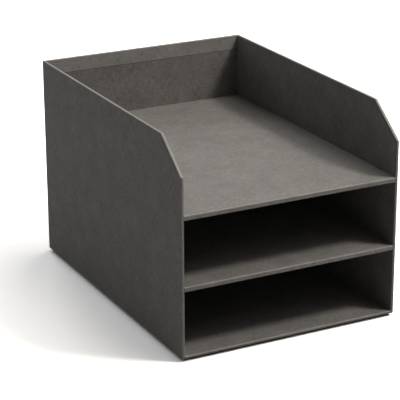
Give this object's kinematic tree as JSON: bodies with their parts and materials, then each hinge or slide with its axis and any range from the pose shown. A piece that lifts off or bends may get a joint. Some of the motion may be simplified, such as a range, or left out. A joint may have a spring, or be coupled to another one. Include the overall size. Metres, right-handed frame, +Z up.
{
  "type": "letter tray stack",
  "caption": "Open-fronted letter tray of paper-covered fibreboard: closed compartments with fixed shelves under an open top tray with sloped front corners.",
  "frame": {"origin": "centre of the footprint, on the surface that the tray stands on", "axes": "+X to the right as seen from the open front, +Y from the open front to the back, +Z up"},
  "size_m": [0.24, 0.332, 0.219],
  "materials": {
    "fibreboard": "grey fibreboard, unseen under its papers",
    "cover_paper": "warm dark grey paper with a fine embossed canvas grain, matt",
    "lining_paper": "the same dark grey paper as lining, matt",
    "base_paper": "plain near-black paper, matt"
  },
  "bodies": {
    "root": {"left_side_board": "fibreboard", "right_side_board": "fibreboard", "back_board": "fibreboard", "bottom_board": "fibreboard", "middle_shelf_board": "fibreboard", "top_shelf_board": "fibreboard", "base_board": "fibreboard", "outer_cover": "cover_paper", "bottom_cover": "cover_paper", "middle_shelf_cover": "cover_paper", "top_shelf_cover": "cover_paper", "left_lining": "lining_paper", "right_lining": "lining_paper", "back_lining": "lining_paper", "base_cover": "base_paper"}
  },
  "joints": []
}
